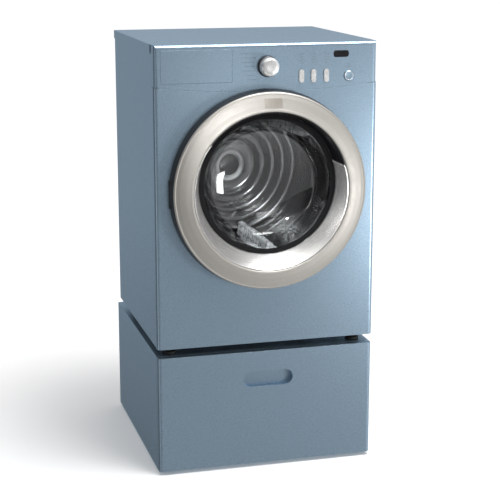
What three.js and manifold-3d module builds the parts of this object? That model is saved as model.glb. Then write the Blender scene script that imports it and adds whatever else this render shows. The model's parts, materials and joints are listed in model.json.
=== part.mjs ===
// Front load washing machine standing on its matching drawer pedestal.
// Millimetres, +Z up, front towards -Y, origin on the floor under the middle of the object.
import * as THREE from 'three';
import { mergeVertices } from 'three/addons/utils/BufferGeometryUtils.js';
import Module from 'manifold-3d';

const wasm = await Module();
wasm.setup();

// Driving dimensions of the cabinet and the pedestal
const HEIGHT = 1318;              // floor to worktop
const HALF_W = 343;               // half of the 27 inch width, on the front panel
const SIDE_X = 341;               // outer face of the cabinet sides
const FRONT_Y = -314;             // plane of the front panel, console and drawer front
const BODY_DEPTH = 644;
const PEDESTAL_DEPTH = 686;
const PEDESTAL_H = 377;
const FOOT_GAP = 27;              // dark gap between pedestal and cabinet
const WORKTOP_H = 26;
const BASE_FRAME_H = 6;
const SHEET = 2.5;                // sheet metal, drawn a little thick
const GAP = 0.5;                  // clearance between pieces that touch
const CORNER_R = 12;              // rounded front corners

const REAR_Y = FRONT_Y + BODY_DEPTH;
const PEDESTAL_REAR_Y = FRONT_Y + PEDESTAL_DEPTH;
const BODY_Z = PEDESTAL_H + FOOT_GAP;
const PANEL_BACK_Y = FRONT_Y + 24;
const CONSOLE_BACK_Y = FRONT_Y + 44;
const WORKTOP_Z = HEIGHT - WORKTOP_H;

// Curved seam between console and front panel: an arc that sags towards the middle
const SEAM_SIDE_Z = 1196;
const SEAM_SAG = 20;
const SEAM_R = (HALF_W ** 2 + SEAM_SAG ** 2) / (2 * SEAM_SAG);
const SEAM_CENTRE_Z = SEAM_SIDE_Z - SEAM_SAG + SEAM_R;
const SEAM_HALF_ANGLE = Math.asin(HALF_W / SEAM_R);

// Door, drum and drive
const DOOR_Z = 882;               // height of the door and drum axis
const DOOR_R = 303;
const PORTHOLE_R = 230;
const CONE_RISE = 16;             // the inner cone leans upwards towards the glass
const HINGE_X = -298;
const HINGE_DEPTH = -8;           // hinge axis in front of the panel
const HINGE_HALF = 42;
const KNUCKLE_HALF = 15;
const KNUCKLE_R = 5.5;
const PIN_R = 2.5;
const STRIKE_X = 262;
const DRUM_R = 262;
const DRUM_FRONT_Y = -226;
const DRUM_BACK_Y = 176;
const LIFTER_ANGLES = [45, 165, 282];
const TUB_R = 279;
const TUB_WALL = 5;
const TUB_SPLIT_Y = -60;
const TUB_FRONT_Y = -236;
const TUB_BACK_Y = 211;
const SHAFT_R = 15;
const BEARING_R = 35;
const SPRING_X = 262;
const SPRING_Z = [1046, 1185];    // lower and upper ends of the tub's springs
const DAMPER_X = 236;             // foot of each damper on the base frame
const HUB_R = 58;
const PULLEY_Y = [242, 262];
const DRUM_PULLEY_R = 150;
const MOTOR_PULLEY_R = 14;
const GROOVE = 3;                 // depth of the belt's groove in the drum pulley
const MOTOR_AT = [100, 520];
const PUMP_AT = [230, -120, 464.5];

// Rear panel, valve and cord
const SERVICE_HALF_W = 215;
const SERVICE_Z = [580, 1110];
const VALVE_X = [-302, -228];
const VALVE_PORT_X = [-283, -247];
const VALVE_PORT_R = 12;
const VALVE_Z = 1225;
const GLAND_X = -160;
const GLAND_R = 10;

// Console controls
const KNOB_Z = 1250;
const BUTTON_X = [104.5, 142, 182];
const BUTTON_Z = 1219;
const BUTTON_SIZE = [15, 40];
const START_AT = [253, 1216];
const START_R = 16;
const DISPLAY = { x: 228, z: 1282, w: 47, h: 19, r: 7 };
const DISPENSER = { x: -215, z: 1254, w: 214, h: 96, r: 6 };

// Pedestal grip and feet
const GRIP = { x: 4.5, z: 287.5, w: 159, h: 49, depth: 21 };
const FOOT_R = 22;
const WASHER_FOOT_AT = { x: 296, front: -256, rear: 290 };
const PEDESTAL_FOOT_AT = { x: 300, front: -250, rear: 330 };
const PEDESTAL_Z = 10;

// Segments round a turn
const ROUND = 40;
const SMALL_ROUND = 20;

const material = (color, roughness, metalness = 0) =>
  new THREE.MeshStandardMaterial({ color, roughness, metalness });
const BLUE = material(0x7f97ab, 0.35, 0.6);
const SILVER = material(0xb4afa6, 0.35, 0.8);
const CHROME = material(0xd8d8d6, 0.15, 1);
const STAINLESS = material(0xa9abad, 0.3, 1);
const BLACK = material(0x15171a, 0.4);
const RUBBER = material(0x2b2d30, 0.8);
const GLASS = new THREE.MeshStandardMaterial({
  color: 0x9fb0b8, roughness: 0.05, transparent: true, opacity: 0.35 });
const WHITE = material(0xe6e7e6, 0.5);
const ZINC = material(0x9a9d9f, 0.4, 0.9);
const IRON = material(0x55585b, 0.7, 0.4);
const BOARD = material(0x2f5d43, 0.6);

// ---- Geometry helpers ----

// Welds shared corners, drops the empty triangles on a lathe's axis and turns the faces outwards.
function weld(geometry) {
  const bare = geometry.clone();
  bare.deleteAttribute('normal');
  bare.deleteAttribute('uv');
  const merged = mergeVertices(bare, 1e-4);
  const place = merged.getAttribute('position');
  const corners = [0, 1, 2].map(() => new THREE.Vector3());
  const index = merged.getIndex().array;
  const faces = [];
  let volume = 0;
  for (let i = 0; i < index.length; i += 3) {
    const face = [index[i], index[i + 1], index[i + 2]];
    if (new Set(face).size < 3) continue;
    face.forEach((vertex, k) => corners[k].fromBufferAttribute(place, vertex));
    volume += corners[0].dot(corners[1].cross(corners[2]));
    faces.push(face);
  }
  merged.setIndex(faces.flatMap((face) => (volume < 0 ? [...face].reverse() : face)));
  return merged;
}

function solid(geometry) {
  const welded = weld(geometry);
  return new wasm.Manifold(new wasm.Mesh({
    numProp: 3,
    vertProperties: new Float32Array(welded.getAttribute('position').array),
    triVerts: new Uint32Array(welded.getIndex().array),
  }));
}

function surface(body) {
  const mesh = body.getMesh();
  const geometry = new THREE.BufferGeometry();
  geometry.setAttribute('position', new THREE.BufferAttribute(mesh.vertProperties, 3));
  geometry.setIndex(new THREE.BufferAttribute(mesh.triVerts, 1));
  return geometry;
}

const joined = (bodies) => bodies.reduce((whole, body) => whole.add(body));
const cut = (body, tools) => tools.reduce((rest, tool) => rest.subtract(tool), body);

function block(x, y, z) {
  const box = new THREE.BoxGeometry(x[1] - x[0], y[1] - y[0], z[1] - z[0]);
  box.translate((x[0] + x[1]) / 2, (y[0] + y[1]) / 2, (z[0] + z[1]) / 2);
  return solid(box);
}

function extruded(shape, depth, curveSegments = 2) {
  return new THREE.ExtrudeGeometry(shape, { depth, bevelEnabled: false, curveSegments });
}

// Prism from an outline drawn in plan (x, y)
function planPrism(shape, z, segments) {
  const prism = extruded(shape, z[1] - z[0], segments);
  prism.translate(0, 0, z[0]);
  return solid(prism);
}

// Prism from an outline drawn in the front view (x, z)
function frontPrism(shape, y, segments) {
  const prism = extruded(shape, y[1] - y[0], segments);
  prism.rotateX(Math.PI / 2);
  prism.translate(0, y[1], 0);
  return solid(prism);
}

// Prism from an outline drawn in the side view (y, z)
function sidePrism(shape, x, segments) {
  const prism = extruded(shape, x[1] - x[0], segments);
  const turn = new THREE.Matrix4().makeBasis(
    new THREE.Vector3(0, 1, 0), new THREE.Vector3(0, 0, 1), new THREE.Vector3(1, 0, 0));
  prism.applyMatrix4(turn);
  prism.translate(x[0], 0, 0);
  return solid(prism);
}

function roundedRect(x, y, w, h, r) {
  const [left, right, low, high] = [x - w / 2, x + w / 2, y - h / 2, y + h / 2];
  const shape = new THREE.Shape();
  shape.absarc(right - r, low + r, r, -Math.PI / 2, 0);
  shape.absarc(right - r, high - r, r, 0, Math.PI / 2);
  shape.absarc(left + r, high - r, r, Math.PI / 2, Math.PI);
  shape.absarc(left + r, low + r, r, Math.PI, Math.PI * 1.5);
  return shape;
}

const stadium = (x, y, w, h) => roundedRect(x, y, w, h, Math.min(w, h) / 2 - 0.01);

function disc(x, y, r) {
  const shape = new THREE.Shape();
  shape.absarc(x, y, r, 0, Math.PI * 2);
  return shape;
}

const points = (pairs) => pairs.map(([a, b]) => new THREE.Vector2(a, b));
const polygon = (pairs) => new THREE.Shape(points(pairs));

// Turned about the Y axis from a profile of [radius, y] points that closes on itself
const turnedRing = (profile, segments = ROUND) =>
  new THREE.LatheGeometry(points([...profile, profile[0]]), segments);

// Turned about the Y axis from a profile that starts and ends on the axis
const turned = (profile, segments = ROUND) =>
  new THREE.LatheGeometry(points(profile), segments);

const rod = (r, y, segments = SMALL_ROUND) =>
  turned([[0, y[0]], [r, y[0]], [r, y[1]], [0, y[1]]], segments);

// Slides each slice of a turned piece up in proportion to its depth
function sheared(geometry, yFrom, yTo, riseFrom, riseTo) {
  const place = geometry.getAttribute('position');
  for (let i = 0; i < place.count; i += 1) {
    const share = (place.getY(i) - yFrom) / (yTo - yFrom);
    place.setZ(i, place.getZ(i) + riseFrom + (riseTo - riseFrom) * share);
  }
  return geometry;
}

function place(parent, name, body, look, at = [0, 0, 0]) {
  const geometry = body.getMesh ? surface(body) : weld(body);
  const mesh = new THREE.Mesh(geometry, look);
  mesh.name = name;
  mesh.position.set(...at);
  parent.add(mesh);
  return mesh;
}

function groupAt(parent, at) {
  const group = new THREE.Group();
  group.position.set(...at);
  parent.add(group);
  return group;
}

// Plan outline of a front cover with rounded vertical corners
function coverPlan(halfWidth, front, back, r) {
  const shape = new THREE.Shape();
  shape.moveTo(halfWidth, back);
  shape.lineTo(-halfWidth, back);
  shape.absarc(-halfWidth + r, front + r, r, Math.PI, Math.PI * 1.5);
  shape.absarc(halfWidth - r, front + r, r, -Math.PI / 2, 0);
  return shape;
}

// ---- Cabinet ----

function cabinetShell() {
  const x = [-SIDE_X, SIDE_X];
  const top = WORKTOP_Z + 12;
  const inner = [-SIDE_X + SHEET, SIDE_X - SHEET];
  const outside = block(x, [PANEL_BACK_Y + GAP, REAR_Y], [BODY_Z, top]);
  const inside = block(inner, [FRONT_Y, REAR_Y - SHEET], [BODY_Z - 1, top + 1]);
  const consoleCorner = block(
    [-HALF_W, HALF_W], [FRONT_Y, CONSOLE_BACK_Y + GAP], [SEAM_SIDE_Z - 1, HEIGHT]);
  const rear = [REAR_Y - 2 * SHEET, REAR_Y + SHEET];
  const service = block([-SERVICE_HALF_W, SERVICE_HALF_W], rear, SERVICE_Z);
  const ports = VALVE_PORT_X.map((portX) => frontPrism(disc(portX, VALVE_Z, VALVE_PORT_R + 1.5), rear, 6));
  const gland = frontPrism(disc(GLAND_X, VALVE_Z, GLAND_R + 1.5), rear, 6);
  const lugX = [SPRING_X - 16, SIDE_X - 1];
  const lugs = [-1, 1].map((side) => block(
    side < 0 ? [-lugX[1], -lugX[0]] : lugX, [-20, 20], [SPRING_Z[1] + 3, SPRING_Z[1] + 6]));
  return joined([cut(outside, [inside, consoleCorner, service, ...ports, gland]), ...lugs]);
}

function worktop() {
  const y = [CONSOLE_BACK_Y + GAP, REAR_Y + 4];
  const half = SIDE_X + 3;
  const slab = planPrism(
    roundedRect(0, (y[0] + y[1]) / 2, 2 * half, y[1] - y[0], 6), [WORKTOP_Z, HEIGHT], 3);
  const pocket = block(
    [-SIDE_X - GAP, SIDE_X + GAP], [y[0] - 10, REAR_Y + GAP], [WORKTOP_Z - 1, HEIGHT - SHEET]);
  return cut(slab, [pocket]);
}

function frontPanel() {
  const z = [BODY_Z, SEAM_SIDE_Z + 10];
  const inside = coverPlan(HALF_W - SHEET, FRONT_Y + SHEET, PANEL_BACK_Y + 10, CORNER_R - SHEET);
  const skin = cut(planPrism(coverPlan(HALF_W, FRONT_Y, PANEL_BACK_Y, CORNER_R), z),
    [planPrism(inside, [z[0] - 1, z[1] + 1])]);
  const [from, to] = [-Math.PI / 2 - SEAM_HALF_ANGLE, -Math.PI / 2 + SEAM_HALF_ANGLE];
  const face = new THREE.Shape();
  face.moveTo(-HALF_W - 1, z[0]);
  face.lineTo(HALF_W + 1, z[0]);
  face.absarc(0, SEAM_CENTRE_Z, SEAM_R + 1, to, from, true);
  face.lineTo(-HALF_W - 1, SEAM_SIDE_Z - 1);
  const through = [FRONT_Y - 5, FRONT_Y + 10];
  const porthole = frontPrism(disc(0, DOOR_Z, PORTHOLE_R), through, ROUND / 2);
  const strikeSlot = block([STRIKE_X - 9, STRIKE_X + 9], through, [DOOR_Z - 16, DOOR_Z + 16]);
  return cut(
    skin.intersect(frontPrism(face, [FRONT_Y - 5, PANEL_BACK_Y + 5], 9)), [porthole, strikeSlot]);
}

// Side view of the console: a front face that rounds over into the top. inset moves it inwards.
function consoleProfile(inset, low) {
  const [front, back, top] = [FRONT_Y + inset, CONSOLE_BACK_Y + 2 * inset, HEIGHT - inset];
  const profile = new THREE.Shape();
  profile.moveTo(front, low);
  profile.lineTo(back, low);
  profile.lineTo(back, top);
  profile.absarc(front + CORNER_R - inset, top - CORNER_R + inset, CORNER_R - inset, Math.PI / 2, Math.PI);
  return profile;
}

// The console fills the cover's plan and side outlines, moved inwards by inset.
function consoleBody(inset, low) {
  const plan = coverPlan(SIDE_X - inset, FRONT_Y + inset, CONSOLE_BACK_Y + 2 * inset, CORNER_R - inset);
  return planPrism(plan, [low, HEIGHT - inset])
    .intersect(sidePrism(consoleProfile(inset, low), [-SIDE_X, SIDE_X]));
}

function consoleFascia() {
  const low = SEAM_SIDE_Z - SEAM_SAG - 5;
  const wall = 3;
  const [from, to] = [-Math.PI / 2 - SEAM_HALF_ANGLE, -Math.PI / 2 + SEAM_HALF_ANGLE];
  const face = new THREE.Shape();
  face.moveTo(HALF_W + 1, HEIGHT + 1);
  face.lineTo(-HALF_W - 1, HEIGHT + 1);
  face.absarc(0, SEAM_CENTRE_Z, SEAM_R, from, to);
  const outside = consoleBody(0, low).intersect(frontPrism(face, [FRONT_Y - 5, CONSOLE_BACK_Y + 5], 9));
  const inside = consoleBody(wall, low - 5);
  const through = [FRONT_Y - 5, FRONT_Y + 10];
  const openings = [
    frontPrism(disc(0, KNOB_Z, 6), through, 5),
    frontPrism(disc(...START_AT, START_R + 0.8), through, 10),
    frontPrism(roundedRect(DISPLAY.x, DISPLAY.z, DISPLAY.w + 1, DISPLAY.h + 1, DISPLAY.r), through, 3),
    frontPrism(
      roundedRect(DISPENSER.x, DISPENSER.z, DISPENSER.w + 1, DISPENSER.h + 1, DISPENSER.r), through, 3),
    ...BUTTON_X.map((x) => frontPrism(
      stadium(x, BUTTON_Z, BUTTON_SIZE[0] + 1.4, BUTTON_SIZE[1] + 1.4), through, 4)),
  ];
  return cut(outside, [inside, ...openings]);
}

// Cover plate screwed over the service opening, with a lap all round
function rearAccessPanel() {
  const lap = 20;
  const [width, height] = [2 * (SERVICE_HALF_W + lap), SERVICE_Z[1] - SERVICE_Z[0] + 2 * lap];
  const outline = roundedRect(0, (SERVICE_Z[0] + SERVICE_Z[1]) / 2, width, height, 12);
  return frontPrism(outline, [REAR_Y + GAP, REAR_Y + GAP + 2], 3);
}

function baseFrame() {
  const z = [BODY_Z, BODY_Z + BASE_FRAME_H];
  const half = SIDE_X - SHEET - GAP;
  const y = [PANEL_BACK_Y + GAP, REAR_Y - SHEET - GAP];
  const rail = 60;
  const ring = cut(block([-half, half], y, z),
    [block([-half + rail, half - rail], [y[0] + rail, y[1] - rail], [z[0] - 1, z[1] + 1])]);
  const crossBars = [-150, 130].map((barY) => block([-half + 20, half - 20], [barY, barY + 50], z));
  const tabX = [DAMPER_X - 16, half - rail + 1];
  const tabs = [-1, 1].map((side) => block(side < 0 ? [-tabX[1], -tabX[0]] : tabX, [-25, 25], z));
  return joined([ring, ...crossBars, ...tabs]);
}

// A levelling foot turned about the vertical: rubber pad, flange and threaded stem
function foot(low, high) {
  const pad = Math.min(8, (high - low) * 0.6);
  const profile = [[0, low], [FOOT_R, low], [FOOT_R, low + pad], [8, low + pad], [8, high], [0, high]];
  const geometry = turned(profile, 16);
  geometry.rotateX(Math.PI / 2);
  return geometry;
}

function doorGasket() {
  const front = FRONT_Y + 0.6;
  const profile = [
    [PORTHOLE_R - 0.8, front], [PORTHOLE_R - 0.8, FRONT_Y + 3.4], [236, FRONT_Y + 3.4], [236, FRONT_Y + 8],
    [228, FRONT_Y + 12], [226, FRONT_Y + 26], [237, FRONT_Y + 34], [237, FRONT_Y + 40], [227, FRONT_Y + 48],
    [238, FRONT_Y + 56], [238, TUB_FRONT_Y - 14.6], [233, TUB_FRONT_Y - 14.6], [233, FRONT_Y + 58],
    [221, FRONT_Y + 49], [231, FRONT_Y + 38], [221, FRONT_Y + 28], [219.5, FRONT_Y + 12], [219.5, front]];
  const geometry = turnedRing(profile);
  geometry.translate(0, 0, DOOR_Z);
  return geometry;
}

// ---- Tub and what hangs on it ----

function tubFront() {
  const wall = TUB_FRONT_Y + TUB_WALL;
  return turnedRing([
    [TUB_R, TUB_SPLIT_Y - GAP], [TUB_R, TUB_FRONT_Y], [238, TUB_FRONT_Y], [238, TUB_FRONT_Y - 14],
    [234, TUB_FRONT_Y - 14], [234, wall], [TUB_R - TUB_WALL, wall], [TUB_R - TUB_WALL, TUB_SPLIT_Y - GAP]]);
}

function tubRear() {
  const inner = TUB_BACK_Y - 6;
  const shell = solid(turnedRing([
    [TUB_R, TUB_SPLIT_Y], [TUB_R, TUB_BACK_Y], [46, TUB_BACK_Y], [46, TUB_BACK_Y + 25],
    [BEARING_R + GAP, TUB_BACK_Y + 25], [BEARING_R + GAP, inner], [TUB_R - TUB_WALL, inner],
    [TUB_R - TUB_WALL, TUB_SPLIT_Y]]));
  const lugLow = Math.sqrt(TUB_R ** 2 - (SPRING_X - 8) ** 2) - 6;
  const lugs = [-1, 1].map((side) => block(
    side < 0 ? [-SPRING_X - 8, -SPRING_X + 14] : [SPRING_X - 14, SPRING_X + 8],
    [-12, 12], [lugLow, SPRING_Z[0] - DOOR_Z - 4]));
  const hollow = solid(rod(TUB_R - TUB_WALL, [TUB_SPLIT_Y, inner], ROUND));
  return joined([shell, ...lugs.map((lug) => cut(lug, [hollow]))]);
}

function drumBearing() {
  const y = [TUB_BACK_Y - 3, TUB_BACK_Y + 21];
  const r = SHAFT_R + 0.5;
  return turnedRing([[r, y[0]], [BEARING_R, y[0]], [BEARING_R, y[1]], [r, y[1]]], SMALL_ROUND);
}

function counterweight() {
  const [inner, outer] = [TUB_R + 1.5, 318];
  const [from, to] = [Math.PI * 0.28, Math.PI * 0.72];
  const arch = new THREE.Shape();
  arch.absarc(0, 0, outer, from, to);
  arch.absarc(0, 0, inner, to, from, true);
  return frontPrism(arch, [-160, -40], 12);
}

class Helix extends THREE.Curve {
  constructor(r, low, high, turns) {
    super();
    Object.assign(this, { r, low, high, turns });
  }

  getPoint(t, target = new THREE.Vector3()) {
    const angle = t * this.turns * Math.PI * 2;
    const height = this.low + (this.high - this.low) * t;
    return target.set(this.r * Math.cos(angle), this.r * Math.sin(angle), height);
  }
}

function tubSpring() {
  const turns = 7;
  return new THREE.ExtrudeGeometry(disc(0, 0, 2.4), {
    steps: turns * 7, curveSegments: 3, bevelEnabled: false,
    extrudePath: new Helix(13, ...SPRING_Z, turns) });
}

// Friction damper: a tube below and its rod above, leaning outwards to the base frame
function tubDamper(side) {
  const low = new THREE.Vector3(side * DAMPER_X, 0, BODY_Z + 18);
  const high = new THREE.Vector3(side * 150, 0, DOOR_Z - TUB_R + 22);
  const length = low.distanceTo(high);
  const body = turned(
    [[0, 0], [14, 0], [14, length * 0.55], [7, length * 0.6], [7, length], [0, length]], 16);
  const lean = new THREE.Quaternion().setFromUnitVectors(
    new THREE.Vector3(0, 1, 0), high.clone().sub(low).normalize());
  body.applyQuaternion(lean);
  body.translate(low.x, low.y, low.z);
  return body;
}

function driveMotor() {
  const can = solid(turned([[0, 70], [54, 70], [60, 78], [60, 205], [54, 214], [18, 214], [18, 224],
    [6, 224], [6, PULLEY_Y[0] - GAP], [0, PULLEY_Y[0] - GAP]], SMALL_ROUND));
  const mount = block([-30, 30], [100, 180], [40, 89]);
  return joined([can, mount]);
}

function pulley(r, hub, segments) {
  const [front, back] = PULLEY_Y;
  const groove = r - GROOVE;
  return turnedRing([[hub, front], [r, front], [r, front + 3], [groove, front + 4], [groove, back - 4],
    [r, back - 3], [r, back], [hub, back]], segments);
}

function beltOutline(offset) {
  const [big, small] = [DRUM_PULLEY_R - GROOVE + offset, MOTOR_PULLEY_R + offset];
  const [dx, dz] = [MOTOR_AT[0], MOTOR_AT[1] - DOOR_Z];
  const heading = Math.atan2(dz, dx);
  const wrap = Math.acos((big - small) / Math.hypot(dx, dz));
  const shape = new THREE.Shape();
  shape.absarc(0, 0, big, heading + wrap, heading - wrap + Math.PI * 2);
  shape.absarc(dx, dz, small, heading - wrap, heading + wrap);
  return shape;
}

function driveBelt() {
  const y = [PULLEY_Y[0] + 4.8, PULLEY_Y[1] - 4.8];
  return cut(frontPrism(beltOutline(4.5), y, 14), [frontPrism(beltOutline(1.2), [y[0] - 1, y[1] + 1], 14)]);
}

function drainPump() {
  const volute = solid(rod(38, [-60, 0]));
  const motor = solid(rod(26, [-1, 62]));
  const outlet = block([-60, 0], [-45, -20], [12, 36]);
  const stand = block([-30, 30], [-50, 40], [-54, -20]);
  return joined([volute, motor, outlet, stand]);
}

function inletValve() {
  const body = block(VALVE_X, [REAR_Y - 46, REAR_Y - SHEET - GAP], [VALVE_Z - 24, VALVE_Z + 24]);
  const ports = VALVE_PORT_X.map(
    (x) => frontPrism(disc(x, VALVE_Z, VALVE_PORT_R), [REAR_Y - 10, REAR_Y + 22], 5));
  return joined([body, ...ports]);
}

function cordGland() {
  const flange = GLAND_R + 7;
  return turned([[0, REAR_Y - 8], [GLAND_R, REAR_Y - 8], [GLAND_R, REAR_Y + GAP], [flange, REAR_Y + GAP],
    [flange, REAR_Y + 5], [GLAND_R + 1, REAR_Y + 16], [0, REAR_Y + 16]], SMALL_ROUND);
}

function controlBoard() {
  const card = block([70, 300], [FRONT_Y + 22, FRONT_Y + 24], [1196, 1296]);
  const relays = block([110, 170], [FRONT_Y + 23, FRONT_Y + 36], [1262, 1288]);
  return joined([card, relays]);
}

// ---- Drum ----

function drumShell() {
  const inner = DRUM_R - 2;
  return turnedRing([
    [224, DRUM_FRONT_Y], [252, DRUM_FRONT_Y + 4], [DRUM_R, DRUM_FRONT_Y + 18], [DRUM_R, DRUM_BACK_Y],
    [inner, DRUM_BACK_Y], [inner, DRUM_FRONT_Y + 19], [251, DRUM_FRONT_Y + 6.5], [224, DRUM_FRONT_Y + 2.5]]);
}

function drumBack() {
  const y = DRUM_BACK_Y + GAP;
  return turnedRing([[SHAFT_R + GAP, y], [DRUM_R, y], [DRUM_R, y + 2.5], [SHAFT_R + GAP, y + 2.5]]);
}

function drumLifter() {
  const base = DRUM_R - 5.6;
  const outline = new THREE.Shape();
  outline.moveTo(-34, -base);
  outline.lineTo(34, -base);
  outline.lineTo(30, -base + 10);
  outline.absarc(0, -base + 42, 13, -0.15, Math.PI + 0.15);
  outline.lineTo(-30, -base + 10);
  return frontPrism(outline, [DRUM_FRONT_Y + 34, DRUM_BACK_Y - 14], 5);
}

function drumHubCap() {
  const back = DRUM_BACK_Y - GAP;
  return turned([[0, back - 17], [36, back - 17], [45, back - 22], [HUB_R - 3, back - 18], [HUB_R, back - 6],
    [HUB_R, back], [0, back]], 32);
}

// Shaft with the three-armed spider that carries the drum
function drumShaft() {
  const front = DRUM_BACK_Y;
  const shaft = solid(rod(SHAFT_R, [front, PULLEY_Y[1] + 10]));
  const hub = solid(rod(34, [front + 4, front + 24]));
  const arms = [90, 210, 330].map((degrees) => {
    const bar = new THREE.BoxGeometry(40, 12, 225);
    bar.translate(0, front + 10, 112.5);
    bar.rotateY(THREE.MathUtils.degToRad(degrees));
    return solid(bar);
  });
  return joined([shaft, hub, ...arms]);
}

// ---- Door ----

function doorFrame() {
  const dish = solid(turnedRing([
    [190, -1.5], [DOOR_R, -1.5], [298.5, -38], [294.5, -38], [298.5, -5], [190, -5]]));
  const seat = new THREE.Shape();
  seat.absarc(0, CONE_RISE, 221, 0, Math.PI * 2);
  const hingeWindow = block([-320, -252], [-14.5, 0], [-HINGE_HALF - 2, HINGE_HALF + 2]);
  const strikeHole = frontPrism(disc(STRIKE_X, 0, 4.5), [-10, 5], 5);
  return cut(dish, [frontPrism(seat, [-20, 5], ROUND / 2), hingeWindow, strikeHole]);
}

function doorTrimRing() {
  return turnedRing([
    [297.5, -38.6], [292, -44.5], [280, -50], [262, -55.4], [247, -58], [239, -56], [240, -53.5],
    [248, -54.5], [262, -51.9], [280, -46.5], [290, -41.5], [293.5, -38.6]]);
}

function doorInnerCone() {
  const deep = -6.3;
  const geometry = turnedRing([[236, -55.5], [238.5, -55], [217, deep], [213.5, deep]]);
  return sheared(geometry, -55, deep, 0, CONE_RISE);
}

function doorGlass() {
  const geometry = turned([
    [0, 106], [90, 103], [150, 90], [182, 64], [201, -1.8], [220, -1.8], [220, -5.8],
    [197, -5.8], [178, 62], [147, 86.5], [89, 99], [0, 102]]);
  return sheared(geometry, -5.8, 106, CONE_RISE, 4);
}

function knuckle(z, holeR) {
  const barrel = disc(HINGE_X, HINGE_DEPTH, KNUCKLE_R);
  const bore = planPrism(disc(HINGE_X, HINGE_DEPTH, holeR), [z[0] - 1, z[1] + 1], 5);
  return cut(planPrism(barrel, z, 5), [bore]);
}

function hingeBracket() {
  const hole = PIN_R + 0.3;
  const knuckles = [
    knuckle([-HINGE_HALF, -KNUCKLE_HALF - 1], hole), knuckle([KNUCKLE_HALF + 1, HINGE_HALF], hole)];
  const plate = block([HINGE_X + 5, -258], [-4, -0.5], [-HINGE_HALF, HINGE_HALF]);
  const arms = [[-HINGE_HALF, -KNUCKLE_HALF - 1], [KNUCKLE_HALF + 1, HINGE_HALF]].map((z) =>
    block([HINGE_X - 3, -285], [-5, -0.5], z));
  const bore = planPrism(disc(HINGE_X, HINGE_DEPTH, hole), [-HINGE_HALF - 1, HINGE_HALF + 1], 5);
  return cut(joined([plate, ...arms, ...knuckles]), [bore]);
}

function hingeLeaf() {
  const hole = PIN_R + 0.3;
  const plate = block([HINGE_X + 7, -236], [-9, -5.5], [-HINGE_HALF, HINGE_HALF]);
  const tongue = block([HINGE_X, -285], [-12, -7], [-KNUCKLE_HALF, KNUCKLE_HALF]);
  const bore = planPrism(disc(HINGE_X, HINGE_DEPTH, hole), [-HINGE_HALF - 1, HINGE_HALF + 1], 5);
  return cut(joined([plate, tongue, knuckle([-KNUCKLE_HALF, KNUCKLE_HALF], hole)]), [bore]);
}

function hingePin() {
  return planPrism(disc(HINGE_X, HINGE_DEPTH, PIN_R), [-HINGE_HALF, HINGE_HALF], 5);
}

function doorStrike() {
  return turned([[0, -8], [8, -8], [8, -5.5], [4, -5.5], [4, 14], [7, 16], [7, 19], [4, 22], [0, 22]], 16);
}

function doorLatch() {
  const housing = block([STRIKE_X - 20, STRIKE_X + 20], [SHEET + GAP, 44], [-36, 36]);
  const throat = block([STRIKE_X - 10, STRIKE_X + 10], [0, 30], [-17, 17]);
  return cut(housing, [throat]);
}

// ---- Console pieces ----

function programKnob() {
  return turned([[0, 24], [4, 24], [4, -0.8], [32, -0.8], [31, -9], [28.5, -11], [28.5, -30], [26, -36],
    [21, -38.5], [0, -38.5]], 28);
}

function optionButton() {
  return frontPrism(stadium(0, 0, ...BUTTON_SIZE), [-3, 12], 4);
}

function startButton() {
  return turned([[0, -2.6], [10, -2.8], [START_R - 2, -2.4], [START_R, -1], [START_R, 12], [0, 12]], 28);
}

function displayLens() {
  return frontPrism(roundedRect(0, 0, DISPLAY.w, DISPLAY.h, DISPLAY.r), [-0.4, 3.5], 3);
}

function dispenserHousing() {
  const [halfW, back] = [DISPENSER.w / 2 + 4, FRONT_Y + 284];
  const x = [DISPENSER.x - halfW, DISPENSER.x + halfW];
  const outside = block(x, [FRONT_Y + 3.5, back], [1203, 1290]);
  const inside = block([x[0] + 2, x[1] - 2], [FRONT_Y, back - 2], [1205, 1288]);
  return cut(outside, [inside]);
}

function dispenserDrawer() {
  const outline = roundedRect(DISPENSER.x, DISPENSER.z, DISPENSER.w, DISPENSER.h, DISPENSER.r);
  const front = frontPrism(outline, [FRONT_Y, FRONT_Y + 3], 3);
  const [left, right] = [DISPENSER.x - 95, DISPENSER.x + 95];
  const tray = block([left, right], [FRONT_Y + 2, FRONT_Y + 250], [1210, 1272]);
  const cups = [[left + 3, left + 60], [left + 63, left + 120], [left + 123, right - 3]].map(
    (x) => block(x, [FRONT_Y + 6, FRONT_Y + 247], [1213, 1280]));
  return cut(joined([front, tray]), cups);
}

// ---- Pedestal ----

function pedestalShell() {
  const half = HALF_W - 1;
  const z = [PEDESTAL_Z, PEDESTAL_H - 0.4];
  return cut(block([-half, half], [PANEL_BACK_Y + GAP, PEDESTAL_REAR_Y], z), [block(
    [-half + SHEET, half - SHEET], [FRONT_Y - 10, PEDESTAL_REAR_Y - SHEET], [z[0] + SHEET, z[1] - SHEET])]);
}

function pedestalDrawerFront() {
  const half = HALF_W - 1;
  const z = [PEDESTAL_Z + 2, PEDESTAL_H - 1];
  const skin = cut(planPrism(coverPlan(half, FRONT_Y, PANEL_BACK_Y, CORNER_R), z),
    [planPrism(coverPlan(half - 3, FRONT_Y + 3, PANEL_BACK_Y + 10, CORNER_R - 3), [z[0] + 3, z[1] - 3])]);
  const cup = frontPrism(
    stadium(GRIP.x, GRIP.z, GRIP.w + 5, GRIP.h + 5), [FRONT_Y + 1, FRONT_Y + GRIP.depth + 2.5], 5);
  const hollow = frontPrism(stadium(GRIP.x, GRIP.z, GRIP.w, GRIP.h), [FRONT_Y - 5, FRONT_Y + GRIP.depth], 5);
  return cut(joined([skin, cup]), [hollow]);
}

function pedestalDrawerBox() {
  const [x, y, z] = [[-305, 305], [PANEL_BACK_Y + GAP, 330], [45, 235]];
  return cut(block(x, y, z), [block([x[0] + 2, x[1] - 2], [y[0] + 2, y[1] - 2], [z[0] + 2, z[1] + 1])]);
}

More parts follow.
